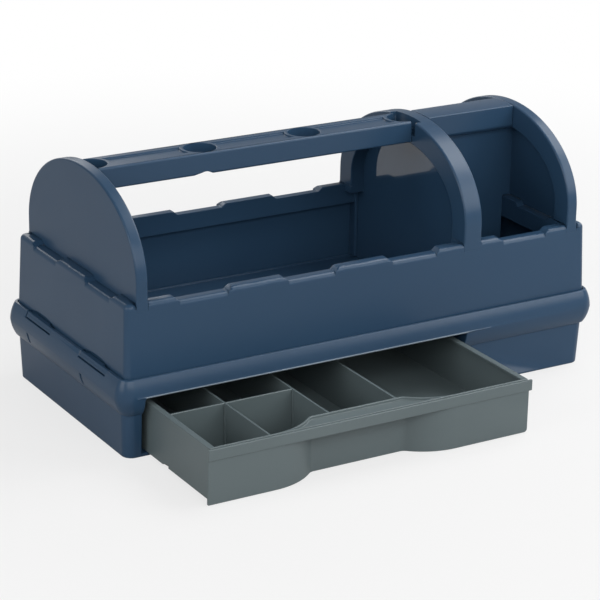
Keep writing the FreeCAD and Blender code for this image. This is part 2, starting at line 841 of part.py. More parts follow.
def drawer_front():
    """Drawer front, built closed: curved wall under a straight lip with a groove behind it."""
    skin = curved_wall(0, front_thickness, front_bottom, shelf_z - shelf_thickness - seat_gap)
    round_x = wall_x1 - front_corner
    round_z = front_bottom + front_corner
    corner = block(round_x, wall_x1 + past, -far, far, front_bottom - past, round_z)
    rounder = Part.makeCylinder(front_corner, 2 * far, vec(round_x, -far, round_z), vec(0, 1, 0))
    skin = skin.cut(corner.cut(rounder))
    lip_y1 = front_y + front_thickness
    lip = block(wall_x0, lip_x1, front_y - lip_proud, lip_y1, drawer_top - lip_height, drawer_top)
    groove_y0 = lip_y1 - lip_groove_width
    groove_z0 = drawer_top - lip_groove_depth
    groove = block(wall_x0 - past, lip_x1 + past, groove_y0, lip_y1 + past, groove_z0, drawer_top + past)
    return skin.fuse(lip).cut(groove).removeSplitter()


def cross_divider(x, slotted):
    """Divider from the drawer front to its back, with a half-lap slot if it meets the long one."""
    shift = tub_shift + drawer_wall + divider_fit
    x0 = x - divider_thickness / 2
    x1 = x0 + divider_thickness
    plate = block(x0, x1, front_y, drawer_back - drawer_wall - divider_fit, divider_z0, divider_z1)
    under_shelf = behind_front(shift, 0, shelf_z - shelf_thickness - seat_gap)
    behind_shelf = behind_front(shift + shelf_overhang, 0, rim_z)
    plate = plate.common(under_shelf.fuse(behind_shelf)).removeSplitter()
    if slotted:
        half = divider_thickness / 2 + divider_fit
        slot = block(x0 - past, x1 + past, long_y - half, long_y + half, lap_z - divider_fit, drawer_top)
        plate = plate.cut(slot)
    return plate


def long_divider(first_x, second_x):
    """Divider along the drawer, from the left wall to the second cross divider."""
    half = divider_thickness / 2
    x0 = drawer_x0 + drawer_wall + divider_fit
    x1 = second_x - half - divider_fit
    y0 = long_y - half
    y1 = long_y + half
    plate = block(x0, x1, y0, y1, divider_z0, divider_z1)
    lip_x = drawer_x0 + drawer_lip + divider_fit
    lip_z = drawer_top - drawer_wall - divider_fit
    lip_cut = block(x0 - past, lip_x, y0 - past, y1 + past, lip_z, drawer_top)
    slot_half = half + divider_fit
    slot = block(first_x - slot_half, first_x + slot_half, y0 - past, y1 + past, 0, lap_z)
    return plate.cut([lip_cut, slot])


def build():
    """All pieces by node name, the drawer pulled out as photographed."""
    bead = bead_ring()
    envelope = rim_envelope()
    outer_wall = tray_solid(seat_z, rim_z, 0)
    pieces = {
        "base_housing": base_housing(bead),
        "tool_tray": tool_tray(envelope),
        "tray_floor": tray_floor(),
        "left_end_arch": end_arch(envelope, outer_wall, -1),
        "middle_arch": middle_arch(envelope, outer_wall),
        "right_end_arch": end_arch(envelope, outer_wall, 1),
        "carry_handle": carry_handle(),
        "well_bridge": well_bridge(),
        "well_partition": well_partition(),
    }
    for name, side, root_y in clip_roots():
        pieces[name] = rim_clip(bead, side, root_y)
    drawer = {
        "drawer_tub": drawer_tub(),
        "drawer_front": drawer_front(),
        "long_divider": long_divider(first_cross, first_cross + cross_pitch),
    }
    for k, place in enumerate(cross_names):
        drawer["cross_divider_" + place] = cross_divider(first_cross + k * cross_pitch, k == 0)
    for name, shape in drawer.items():
        shape.translate(vec(0, -drawer_pull, 0))
        pieces[name] = shape
    return pieces


def main():
    """Write one STEP file for each piece."""
    os.makedirs("parts", exist_ok=True)
    for name, shape in build().items():
        print(name, len(shape.Solids), shape.isValid(), round(shape.Volume / 1000, 2), "cm3")
        shape.exportStep("parts/" + name + ".step")


main()
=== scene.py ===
"""Looks of a moulded tool caddy: rounded shells, plastic finishes, soft studio light and the camera.

Lengths are in metres, angles in radians, lamp powers in watts and colours in linear light.
"""

import json
import logging
import math
from dataclasses import dataclass, replace
from enum import Enum
from typing import ClassVar, Iterable

import bmesh
import bpy
from mathutils import Matrix, Vector
from mathutils.bvhtree import BVHTree
from mathutils.kdtree import KDTree


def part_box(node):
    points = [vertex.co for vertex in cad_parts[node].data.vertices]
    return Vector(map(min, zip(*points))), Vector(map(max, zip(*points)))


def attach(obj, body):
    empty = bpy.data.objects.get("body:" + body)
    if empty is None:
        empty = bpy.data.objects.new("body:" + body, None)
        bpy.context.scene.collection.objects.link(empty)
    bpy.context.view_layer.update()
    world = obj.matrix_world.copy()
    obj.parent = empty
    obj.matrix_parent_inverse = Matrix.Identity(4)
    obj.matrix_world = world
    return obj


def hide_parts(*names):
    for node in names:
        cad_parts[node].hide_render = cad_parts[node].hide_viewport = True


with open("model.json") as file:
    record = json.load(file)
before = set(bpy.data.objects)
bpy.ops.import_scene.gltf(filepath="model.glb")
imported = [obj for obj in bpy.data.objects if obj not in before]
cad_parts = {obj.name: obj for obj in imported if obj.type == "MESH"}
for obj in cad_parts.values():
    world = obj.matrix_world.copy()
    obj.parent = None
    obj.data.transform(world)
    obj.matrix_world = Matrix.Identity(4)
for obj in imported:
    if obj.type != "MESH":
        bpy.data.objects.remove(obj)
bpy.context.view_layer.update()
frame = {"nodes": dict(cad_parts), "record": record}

MM = 0.001
WHITE = (1.0, 1.0, 1.0, 1.0)
LOG = logging.getLogger("caddy")

Triple = tuple[float, float, float]


class Slot(Enum):
    """Material slots of the record."""

    BLUE = "blue_plastic"
    GREY = "grey_plastic"


class Body(Enum):
    """Bodies that carry more than one piece."""

    HOUSING = "housing"
    DRAWER = "drawer"


class Kind(Enum):
    """Kinds of socket on a node group."""

    FLOAT = "NodeSocketFloat"
    VECTOR = "NodeSocketVector"
    COLOUR = "NodeSocketColor"
    GEOMETRY = "NodeSocketGeometry"
    MATERIAL = "NodeSocketMaterial"


class Way(Enum):
    """Sides of a node group."""

    IN = "INPUT"
    OUT = "OUTPUT"


def placed(name: str, data: bpy.types.ID) -> bpy.types.Object:
    """Add an object to the scene.

    Args:
        name: Name of the object.
        data: Its mesh, lamp or camera.

    Returns:
        New object at the origin.
    """
    made = bpy.data.objects.new(name, data)
    bpy.context.scene.collection.objects.link(made)
    return made


def baked(draft: bpy.types.Object) -> bpy.types.Mesh:
    """Turn an object with its modifiers into a plain mesh.

    Args:
        draft: Object with modifiers.

    Returns:
        New mesh.
    """
    draft.data.update()
    draft.update_tag()
    bpy.context.view_layer.update()
    graph = bpy.context.evaluated_depsgraph_get()
    return bpy.data.meshes.new_from_object(draft.evaluated_get(graph), depsgraph=graph)


def add_sockets(tree: bpy.types.NodeTree, way: Way, sockets: dict[str, Kind]) -> None:
    """Give a node group its named sockets.

    Args:
        tree: Tree of the group.
        way: Side that the sockets are on.
        sockets: Kind of each socket by its name.
    """
    for label, kind in sockets.items():
        tree.interface.new_socket(label, in_out=way.value, socket_type=kind.value)


class Graph:
    """Adds and joins the nodes of one tree."""

    mix_first: ClassVar[int] = 6
    mix_second: ClassVar[int] = 7
    mix_result: ClassVar[int] = 2

    def __init__(self, tree: bpy.types.NodeTree) -> None:
        """Take the tree to fill.

        Args:
            tree: Shader or geometry tree.
        """
        self.tree = tree

    def add(self, kind: str, inputs: dict | None = None, **settings: object) -> bpy.types.Node:
        """Add one node.

        Args:
            kind: Blender's identifier of the node.
            inputs: Values or sockets by input name or index.
            settings: Properties of the node.

        Returns:
            The new node.
        """
        node = self.tree.nodes.new(kind)
        for name, value in settings.items():
            setattr(node, name, value)
        for key, value in (inputs or {}).items():
            if isinstance(value, bpy.types.NodeSocket):
                self.tree.links.new(value, node.inputs[key])
            else:
                node.inputs[key].default_value = value
        return node

    def math(
        self, operation: str, first: object, second: object, third: object = 0.0
    ) -> bpy.types.NodeSocket:
        """Add a Math node.

        Args:
            operation: Name of the operation.
            first: Value or socket.
            second: Value or socket.
            third: Value or socket, for operations that take three.

        Returns:
            Socket of the result.
        """
        node = self.add("ShaderNodeMath", {0: first, 1: second, 2: third}, operation=operation)
        return node.outputs[0]

    def ramp(
        self,
        value: bpy.types.NodeSocket,
        span: tuple[float, float],
        levels: tuple[float, float] = (0.0, 1.0),
        curve: str = "LINEAR",
    ) -> bpy.types.NodeSocket:
        """Add a Map Range node.

        Args:
            value: Socket to map.
            span: Values at which the ramp starts and ends.
            levels: Results at its start and at its end.
            curve: Form of the ramp between them.

        Returns:
            Socket of the result.
        """
        node = self.add(
            "ShaderNodeMapRange",
            {
                "Value": value,
                "From Min": span[0],
                "From Max": span[1],
                "To Min": levels[0],
                "To Max": levels[1],
            },
            interpolation_type=curve,
        )
        return node.outputs["Result"]

    def noise(self, place: bpy.types.NodeSocket, scale: object, **inputs: float) -> bpy.types.NodeSocket:
        """Add a Noise Texture node.

        Args:
            place: Socket of the coordinates.
            scale: Value or socket of its scale.
            inputs: Values of its other inputs by name.

        Returns:
            Socket of the noise, from 0 to 1.
        """
        node = self.add("ShaderNodeTexNoise", {"Vector": place, "Scale": scale, **inputs})
        return node.outputs["Fac"]

    def mixed(
        self, share: bpy.types.NodeSocket, first: bpy.types.NodeSocket, second: bpy.types.NodeSocket
    ) -> bpy.types.NodeSocket:
        """Add a Mix node for colours, whose sockets are reached by index because their names repeat.

        Args:
            share: Socket of the second colour's share.
            first: Socket of the first colour.
            second: Socket of the second colour.

        Returns:
            Socket of the mixed colour.
        """
        inputs = {"Factor": share, self.mix_first: first, self.mix_second: second}
        return self.add("ShaderNodeMix", inputs, data_type="RGBA").outputs[self.mix_result]

    def drawn(
        self, place: bpy.types.NodeSocket, scale: Triple, turn: Triple = (0.0, 0.0, 0.0)
    ) -> bpy.types.NodeSocket:
        """Add a Mapping node that draws a pattern out.

        Args:
            place: Socket of the coordinates.
            scale: Scale along each axis; the pattern is longest where it is least.
            turn: Rotation about each axis.

        Returns:
            Socket of the new coordinates.
        """
        node = self.add("ShaderNodeMapping", {"Vector": place, "Rotation": turn, "Scale": scale})
        return node.outputs[0]


class ShaderGroup:
    """Shader node group that is built once and placed in many materials."""

    name: ClassVar[str]
    takes: ClassVar[dict[str, Kind]]
    gives: ClassVar[dict[str, Kind]]

    def place_in(self, graph: Graph, values: dict) -> bpy.types.NodeOutputs:
        """Place the group in a material.

        Args:
            graph: Helper on the material's tree.
            values: Values or sockets by input name.

        Returns:
            Outputs of the placed group.
        """
        return graph.add("ShaderNodeGroup", values, node_tree=self.tree()).outputs

    def tree(self) -> bpy.types.NodeTree:
        """Find the group or build it.

        Returns:
            The shader node tree.
        """
        found = bpy.data.node_groups.get(self.name)
        if found:
            return found
        tree = bpy.data.node_groups.new(self.name, "ShaderNodeTree")
        add_sockets(tree, Way.IN, self.takes)
        add_sockets(tree, Way.OUT, self.gives)
        graph = Graph(tree)
        given = graph.add("NodeGroupInput").outputs
        graph.add("NodeGroupOutput", self.results(graph, given))
        return tree

    def results(self, graph: Graph, given: bpy.types.NodeOutputs) -> dict[str, bpy.types.NodeSocket]:
        """Put the nodes in place.

        Args:
            graph: Helper on the group's tree.
            given: Sockets of the group's inputs.

        Returns:
            Socket of each of the group's outputs by name.
        """
        raise NotImplementedError


class MouldedGrain(ShaderGroup):
    """Fine spark-eroded grain, with gloss that drifts slowly over the surface."""

    name = "moulded_grain"
    takes = {
        "Vector": Kind.VECTOR,
        "Grain Scale": Kind.FLOAT,
        "Patch Scale": Kind.FLOAT,
        "Roughness": Kind.FLOAT,
        "Drift": Kind.FLOAT,
    }
    gives = {"Height": Kind.FLOAT, "Roughness": Kind.FLOAT}
    fine_detail: ClassVar[float] = 3.0
    fine_roughness: ClassVar[float] = 0.6
    cell_share: ClassVar[float] = 0.4
    patch_detail: ClassVar[float] = 2.0
    noise_middle: ClassVar[float] = 0.5

    def results(self, graph: Graph, given: bpy.types.NodeOutputs) -> dict[str, bpy.types.NodeSocket]:
        """Put the nodes in place.

        Args:
            graph: Helper on the group's tree.
            given: Sockets of the group's inputs.

        Returns:
            Height of the grain, and the roughness with its drift.
        """
        place = given["Vector"]
        fine = graph.noise(
            place, given["Grain Scale"], Detail=self.fine_detail, Roughness=self.fine_roughness
        )
        cells = graph.add(
            "ShaderNodeTexVoronoi",
            {"Vector": place, "Scale": given["Grain Scale"]},
            feature="SMOOTH_F1",
        )
        patches = graph.noise(place, given["Patch Scale"], Detail=self.patch_detail)
        swing = graph.math("SUBTRACT", patches, self.noise_middle)
        drift = graph.math("MULTIPLY", swing, given["Drift"])
        return {
            "Height": graph.math("MULTIPLY_ADD", cells.outputs["Distance"], self.cell_share, fine),
            "Roughness": graph.math("ADD", drift, given["Roughness"]),
        }


class FlowTone(ShaderGroup):
    """Slow drift between two near colours, drawn out along the melt's flow."""

    name = "flow_tone"
    takes = {
        "Vector": Kind.VECTOR,
        "Colour": Kind.COLOUR,
        "Deep Colour": Kind.COLOUR,
        "Scale": Kind.FLOAT,
    }
    gives = {"Colour": Kind.COLOUR}
    flow: ClassVar[Triple] = (0.35, 0.8, 1.0)
    detail: ClassVar[float] = 4.0
    distortion: ClassVar[float] = 0.6
    mixing_span: ClassVar[tuple[float, float]] = (0.3, 0.7)

    def results(self, graph: Graph, given: bpy.types.NodeOutputs) -> dict[str, bpy.types.NodeSocket]:
        """Put the nodes in place.

        Args:
            graph: Helper on the group's tree.
            given: Sockets of the group's inputs.

        Returns:
            Colour that drifts from the one to the other.
        """
        drawn = graph.drawn(given["Vector"], self.flow)
        broad = graph.noise(drawn, given["Scale"], Detail=self.detail, Distortion=self.distortion)
        share = graph.ramp(broad, self.mixing_span)
        return {"Colour": graph.mixed(share, given["Colour"], given["Deep Colour"])}


class HandlingScuffs(ShaderGroup):
    """Faint short scratches from handling, in two directions."""

    name = "handling_scuffs"
    takes = {"Vector": Kind.VECTOR, "Scale": Kind.FLOAT, "Amount": Kind.FLOAT}
    gives = {"Mask": Kind.FLOAT}
    leans: ClassVar[tuple[float, float]] = (math.radians(25), math.radians(-50))
    thread: ClassVar[Triple] = (0.04, 1.0, 1.0)
    thread_span: ClassVar[tuple[float, float]] = (0.7, 0.78)
    patch_scale: ClassVar[float] = 9.0
    patch_span: ClassVar[tuple[float, float]] = (0.5, 0.7)
    detail: ClassVar[float] = 1.0

    def results(self, graph: Graph, given: bpy.types.NodeOutputs) -> dict[str, bpy.types.NodeSocket]:
        """Put the nodes in place.

        Args:
            graph: Helper on the group's tree.
            given: Sockets of the group's inputs.

        Returns:
            Mask of the scratches, as strong as the amount.
        """
        masks = []
        for lean in self.leans:
            drawn = graph.drawn(given["Vector"], self.thread, (lean, lean, lean))
            thread = graph.noise(drawn, given["Scale"], Detail=self.detail)
            masks.append(graph.ramp(thread, self.thread_span))
        either = graph.math("MAXIMUM", *masks)
        where = graph.noise(given["Vector"], self.patch_scale, Detail=self.detail)
        local = graph.math("MULTIPLY", either, graph.ramp(where, self.patch_span))
        return {"Mask": graph.math("MULTIPLY", local, given["Amount"])}


class SinkWave(ShaderGroup):
    """Slow waviness of a cooled wall, drawn out upright."""

    name = "sink_wave"
    takes = {"Vector": Kind.VECTOR, "Scale": Kind.FLOAT}
    gives = {"Height": Kind.FLOAT}
    upright: ClassVar[Triple] = (1.0, 1.0, 0.4)
    detail: ClassVar[float] = 1.0
    roughness: ClassVar[float] = 0.4

    def results(self, graph: Graph, given: bpy.types.NodeOutputs) -> dict[str, bpy.types.NodeSocket]:
        """Put the nodes in place.

        Args:
            graph: Helper on the group's tree.
            given: Sockets of the group's inputs.

        Returns:
            Height of the wave.
        """
        drawn = graph.drawn(given["Vector"], self.upright)
        return {"Height": graph.noise(drawn, given["Scale"], Detail=self.detail, Roughness=self.roughness)}


@dataclass(frozen=True)
class MouldedFinish:
    """Finish of one moulded plastic.

    Attributes:
        name: Name of the material.
        slot: Slot of the record that the finish belongs to; not used.
        colour: Main colour.
        deep_colour: Colour that it drifts to.
        roughness: Mean roughness.
        roughness_drift: How far the roughness swings over the surface.
        grain_size: Width of one grain.
        grain_height: Height of the grain.
        grain_strength: Share of that height that shows.
        scuffs: Roughness that the scratches add.
        specular: Specular level; 0.5 leaves the reflection as the index of refraction gives it.
        wave_size: Width of one wave of the wall.
        wave_height: Height of the waves.
        patch_size: Width of one patch of even gloss.
        tone_size: Width of one patch of even colour.
        scuff_size: Width of one scratch.
    """

    name: str
    slot: Slot
    colour: Triple
    deep_colour: Triple
    roughness: float
    roughness_drift: float
    grain_size: float
    grain_height: float
    grain_strength: float
    scuffs: float
    specular: float = 0.5
    wave_size: float = 45 * MM
    wave_height: float = 0.1 * MM
    patch_size: float = 45 * MM
    tone_size: float = 90 * MM
    scuff_size: float = 0.8 * MM

    def material(self) -> bpy.types.Material:
        """Find the material or build it.

        Returns:
            Procedural material on Object coordinates.
        """
        found = bpy.data.materials.get(self.name)
        if found:
            return found
        made = bpy.data.materials.new(self.name)
        made.use_nodes = True
        made.node_tree.nodes.clear()
        graph = Graph(made.node_tree)
        place = graph.add("ShaderNodeTexCoord").outputs["Object"]
        tone = FlowTone().place_in(
            graph,
            {
                "Vector": place,
                "Colour": (*self.colour, 1.0),
                "Deep Colour": (*self.deep_colour, 1.0),
                "Scale": 1 / self.tone_size,
            },
        )
        grain = MouldedGrain().place_in(
            graph,
            {
                "Vector": place,
                "Grain Scale": 1 / self.grain_size,
                "Patch Scale": 1 / self.patch_size,
                "Roughness": self.roughness,
                "Drift": self.roughness_drift,
            },
        )
        scuff = HandlingScuffs().place_in(
            graph, {"Vector": place, "Scale": 1 / self.scuff_size, "Amount": self.scuffs}
        )
        shader = graph.add(
            "ShaderNodeBsdfPrincipled",
            {
                "Base Color": tone["Colour"],
                "Roughness": graph.math("ADD", grain["Roughness"], scuff["Mask"]),
                "Normal": self._relief(graph, place, grain["Height"]),
                "Specular IOR Level": self.specular,
            },
        )
        graph.add("ShaderNodeOutputMaterial", {"Surface": shader.outputs[0]})
        return made

    def _relief(
        self, graph: Graph, place: bpy.types.NodeSocket, grain: bpy.types.NodeSocket
    ) -> bpy.types.NodeSocket:
        """Bend the surface by the wall's slow waves and then by its grain.

        Args:
            graph: Helper on the material's tree.
            place: Socket of the coordinates.
            grain: Socket of the grain's height.

        Returns:
            Socket of the normal.
        """
        wave = SinkWave().place_in(graph, {"Vector": place, "Scale": 1 / self.wave_size})
        swell = graph.add("ShaderNodeBump", {"Height": wave["Height"], "Distance": self.wave_height})
        bump = graph.add(
            "ShaderNodeBump",
            {
                "Height": grain,
                "Distance": self.grain_height,
                "Strength": self.grain_strength,
                "Normal": swell.outputs["Normal"],
            },
        )
        return bump.outputs["Normal"]


BLUE = MouldedFinish(
    name="satin_blue_plastic",
    slot=Slot.BLUE,
    colour=(0.0205, 0.0500, 0.0940),
    deep_colour=(0.0185, 0.0455, 0.0875),
    roughness=0.3,
    roughness_drift=0.08,
    grain_size=0.7 * MM,
    grain_height=0.02 * MM,
    grain_strength=0.2,
    scuffs=0.02,
    specular=0.26,
)
POLISHED_BLUE = replace(
    BLUE,
    name="polished_blue_plastic",
    roughness=0.05,
    roughness_drift=0.02,
    grain_strength=0.02,
    scuffs=0.0,
    specular=1.0,
)
# Pale blue that paints a highlight along the lip over the drawer opening.
LIP_HIGHLIGHT_BLUE = replace(
    BLUE,
    name="lip_highlight_blue_plastic",
    colour=(0.17, 0.21, 0.25),
    deep_colour=(0.13, 0.165, 0.20),
    roughness=0.4,
)
GREY = MouldedFinish(
    name="matte_grey_plastic",
    slot=Slot.GREY,
    colour=(0.090, 0.116, 0.122),
    deep_colour=(0.078, 0.102, 0.108),
    roughness=0.42,
    roughness_drift=0.10,
    grain_size=0.9 * MM,
    grain_height=0.03 * MM,
    grain_strength=0.45,
    scuffs=0.08,
)


def dress(
    mesh: bpy.types.Mesh, faces: Iterable[bpy.types.MeshPolygon], finish: MouldedFinish
) -> None:
    """Give some faces of a dressed mesh a finish of their own.

    Args:
        mesh: Mesh that has its main finish.
        faces: Faces to dress.
        finish: Their finish.
    """
    mesh.materials.append(finish.material())
    last = len(mesh.materials) - 1
    for face in faces:
        face.material_index = last


@dataclass(frozen=True)
class EdgeRounder:
    """Gives the sharp edges of a moulding their small radius.

    Attributes:
        radius: Width of the rounding.
        segments: Facets across the rounding.
        sharp_angle: Least angle between two faces of a sharp edge.
        flat_angle: Angle up to which faces are one flat.
        run_on_angle: Angle past which a neighbouring edge runs on from the edge itself.
        merge_distance: Gap that is closed between loose triangles.
        shared_room: Share of a neighbouring edge's length that one of two roundings may take.
        own_room: The same share where there is only one rounding.
        tries: Most times that the rounding is made; each time releases the torn corners.
        least_share: Least share of the radius at which an edge is rounded at all.
        depth_limit: Distance off the old surface, in radii, past which a corner is torn.
        turned_limit: Cosine to the old surface below which a facet is turned over.
        patch_corners: Most corners of a facet that is tested.
        least_area: Least area of a facet that is tested.
        reach: Distance, in radii, within which a torn place belongs to a corner.
        seam_gap: Gap within which an edge lies on another solid.
        crease_angle: Angle past which the shading is split.
        area_weight: How far the larger faces lead the shading; 100 is fully.
        weight_layer: Name of the mesh layer that holds the edge weights.
    """

    radius: float
    segments: int = 3
    sharp_angle: float = math.radians(33)
    flat_angle: float = math.radians(0.3)
    run_on_angle: float = math.radians(140)
    merge_distance: float = 0.002 * MM
    shared_room: float = 0.45
    own_room: float = 0.9
    tries: int = 6
    least_share: float = 0.3
    depth_limit: float = 0.5
    turned_limit: float = -0.1
    patch_corners: int = 4
    least_area: float = 0.001 * MM**2
    reach: float = 3.0
    seam_gap: float = 0.4 * MM
    crease_angle: float = math.radians(40)
    area_weight: int = 100
    weight_layer: ClassVar[str] = "bevel_weight_edge"

    def rounded(
        self, source: bpy.types.Object, name: str, neighbours: list[bpy.types.Object]
    ) -> bpy.types.Object:
        """Make a rounded copy of a solid.

        Args:
            source: Object whose mesh is copied.
            name: Name of the copy.
            neighbours: Objects that the solid is joined to; its edges on their surfaces stay sharp.

        Returns:
            New object at the origin, with a plain mesh.
        """
        draft = placed(name + "_draft", self._weighted(source.data, name, neighbours))
        bevel = draft.modifiers.new("rounding", "BEVEL")
        bevel.limit_method = "WEIGHT"
        bevel.width = self.radius
        bevel.segments = self.segments
        bevel.use_clamp_overlap = False
        for _ in range(self.tries):
            mesh = baked(draft)
            torn = self._torn(mesh, draft.data)
            if not torn:
                break
            self._release(draft.data, torn)
        if torn:
            LOG.warning("%s: %d corners stay torn", name, len(torn))
        bpy.data.objects.remove(draft)
        mesh.materials.clear()
        return self._shaded(mesh, name)

    def _shaded(self, mesh: bpy.types.Mesh, name: str) -> bpy.types.Object:
        """Split the shading at creases and let the large faces lead it elsewhere.

        Args:
            mesh: Rounded mesh.
            name: Name of the object.

        Returns:
            New object at the origin, with a plain mesh.
        """
        mesh.set_sharp_from_angle(angle=self.crease_angle)
        made = placed(name, mesh)
        normals = made.modifiers.new("normals", "WEIGHTED_NORMAL")
        normals.weight = self.area_weight
        normals.keep_sharp = True
        made.data = baked(made)
        made.data.name = name
        made.modifiers.clear()
        return made

    def _torn(self, mesh: bpy.types.Mesh, draft: bpy.types.Mesh) -> set[int]:
        """Find the corners where the rounding left the surface.

        Args:
            mesh: Rounded mesh.
            draft: Mesh before the rounding.

        Returns:
            Indices of the draft's vertices.
        """
        corners = [vert.co for vert in draft.vertices]
        surface = self._surface(draft)
        nearest = KDTree(len(corners))
        for index, place in enumerate(corners):
            nearest.insert(place, index)
        nearest.balance()
        limit = self.depth_limit * self.radius
        off = {v.index for v in mesh.vertices if surface.find_nearest(v.co)[3] > limit}
        for face in mesh.polygons:
            if len(face.vertices) <= self.patch_corners and face.area > self.least_area:
                near = surface.find_nearest_range(face.center, self.radius)
                if max((hit[1].dot(face.normal) for hit in near), default=0.0) < self.turned_limit:
                    off.update(face.vertices)
        suspects = set(off)
        for edge in mesh.edges:
            if off.intersection(edge.vertices):
                suspects.update(edge.vertices)
        found = [nearest.find(mesh.vertices[index].co) for index in suspects]
        return {index for _, index, gap in found if gap < self.reach * self.radius}

    @staticmethod
    def _surface(mesh: bpy.types.Mesh) -> BVHTree:
        """Make the search tree of a mesh's faces.

        Args:
            mesh: Any mesh.

        Returns:
            Tree that finds the nearest place on the mesh.
        """
        places = [vert.co for vert in mesh.vertices]
        return BVHTree.FromPolygons(places, [list(face.vertices) for face in mesh.polygons])

    def _on_seam(self, edge: bmesh.types.BMEdge, surfaces: list[BVHTree]) -> bool:
        """Tell whether an edge lies on another solid.

        Args:
            edge: Edge to test.
            surfaces: Search trees of the other solids.

        Returns:
            True where both ends and the middle of the edge touch one of them.
        """
        start, end = (vert.co for vert in edge.verts)
        places = (start, end, (start + end) / 2)
        return any(
            all(surface.find_nearest(place, self.seam_gap)[0] is not None for place in places)
            for surface in surfaces
        )

    def _release(self, draft: bpy.types.Mesh, torn: set[int]) -> None:
        """Leave every edge that ends in a torn corner as it is.

        Args:
            draft: Mesh before the rounding.
            torn: Indices of its torn vertices.
        """
        weights = draft.attributes[self.weight_layer].data
        for edge, weight in zip(draft.edges, weights):
            if torn.intersection(edge.vertices):
                weight.value = 0.0

    def _weighted(
        self, source: bpy.types.Mesh, name: str, neighbours: list[bpy.types.Object]
    ) -> bpy.types.Mesh:
        """Merge a copy of a solid's mesh and weigh its sharp edges.

        Args:
            source: Mesh of loose triangles.
            name: Name of the new mesh.
            neighbours: Objects that the solid is joined to.

        Returns:
            Closed mesh with a bevel weight on each sharp edge.
        """
        shell = bmesh.new()
        shell.from_mesh(source)
        bmesh.ops.remove_doubles(shell, verts=shell.verts, dist=self.merge_distance)
        bmesh.ops.dissolve_limit(
            shell, angle_limit=self.flat_angle, verts=shell.verts, edges=shell.edges
        )
        weight = shell.edges.layers.float.new(self.weight_layer)
        inner = [edge for edge in shell.edges if len(edge.link_faces) == 2]
        sharp = {edge for edge in inner if edge.calc_face_angle(0) > self.sharp_angle}
        surfaces = [self._surface(other.data) for other in neighbours]
        for edge in sharp:
            share = min(self._room(edge, vert, sharp) for vert in edge.verts) / self.radius
            rounds = share > self.least_share and not self._on_seam(edge, surfaces)
            edge[weight] = share if rounds else 0.0
        for face in shell.faces:
            face.smooth = True
        mesh = bpy.data.meshes.new(name)
        shell.to_mesh(mesh)
        shell.free()
        return mesh

    def _room(
        self, edge: bmesh.types.BMEdge, vert: bmesh.types.BMVert, sharp: set[bmesh.types.BMEdge]
    ) -> float:
        """Width that the rounding may take at one end of an edge.

        Args:
            edge: Edge to round.
            vert: One of its ends.
            sharp: Every sharp edge.

        Returns:
            Width in metres, at most the radius.
        """
        along = edge.other_vert(vert).co - vert.co
        room = self.radius
        for other in vert.link_edges:
            if other is edge:
                continue
            end = other.other_vert(vert)
            run = end.co - vert.co
            turn = along.angle(run)
            if turn > self.run_on_angle:
                continue
            shared = any(link in sharp for link in end.link_edges if link is not other)
            share = self.shared_room if shared else self.own_room
            room = min(room, run.length * share * math.sin(min(turn, math.pi / 2)))
        return room


@dataclass(frozen=True)
class Moulding:
    """One moulded piece: a rounded, dressed copy of its solid.

    Attributes:
        node: Solid that it stands for.
        body: Body that it moves with.
        finish: Its finish.
        edge_radius: Radius of its edges.
    """

    node: str
    body: str
    finish: MouldedFinish
    edge_radius: float

    def build(self) -> bpy.types.Object:
        """Build the piece and set it on its body.

        Returns:
            The finished object.
        """
        carried = frame["record"]["behaviour"]["bodies"][self.body]
        joined = [frame["nodes"][other] for other in carried if other != self.node]
        made = EdgeRounder(self.edge_radius).rounded(
            frame["nodes"][self.node], self.node + "_moulding", joined
        )
        made.data.materials.append(self.finish.material())
        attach(made, self.body)
        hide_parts(self.node)
        return made


@dataclass(frozen=True)
class BaseHousing:
    """Lower tub with its rim bead and drawer bay.

    Attributes:
        node: Solid of the tub.
        edge_radius: Radius of its edges.
        lip_proud: Depth from the tub's front within which faces belong to the lip over the drawer.
    """

    node: str = "base_housing"
    edge_radius: float = 0.7 * MM
    lip_proud: float = 0.95 * MM

    def build(self) -> list[bpy.types.Object]:
        """Build the tub and paint a pale highlight on its lip.

        Returns:
            The tub.
        """
        made = Moulding(self.node, Body.HOUSING.value, BLUE, self.edge_radius).build()
        self._paint_lip_highlight(made.data)
        return [made]

    def _paint_lip_highlight(self, mesh: bpy.types.Mesh) -> None:
        """Dress the lip over the drawer opening, the tub's foremost part, in a pale finish that paints its
        highlight.

        Args:
            mesh: Mesh of the tub.
        """
        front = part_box(self.node)[0].y + self.lip_proud
        ahead = {vert.index for vert in mesh.vertices if vert.co.y < front}
        # Painted highlight: the lip's foremost faces get the pale blue.
        dress(mesh, [face for face in mesh.polygons if ahead.issuperset(face.vertices)], LIP_HIGHLIGHT_BLUE)


@dataclass(frozen=True)
class RimClips:
    """Sprung tongues in the rim bead."""

    edge_radius: float = 0.3 * MM
    sides: tuple[str, ...] = ("left", "right")
    ends: tuple[str, ...] = ("front", "rear")

    def build(self) -> list[bpy.types.Object]:
        """Build each tongue on its own body.

        Returns:
            The tongues.
        """
        names = [f"{side}_{end}_clip" for side in self.sides for end in self.ends]
        return [Moulding(name, name, BLUE, self.edge_radius).build() for name in names]


@dataclass(frozen=True)
class ToolTray:
    """Upper wall shell and the floor plate inside it."""

    wall_edge: float = 0.6 * MM
    floor_edge: float = 0.3 * MM

    def build(self) -> list[bpy.types.Object]:
        """Build the tray.

        Returns:
            The shell and the plate.
        """
        return [
            Moulding("tool_tray", Body.HOUSING.value, BLUE, self.wall_edge).build(),
            Moulding("tray_floor", Body.HOUSING.value, BLUE, self.floor_edge).build(),
        ]


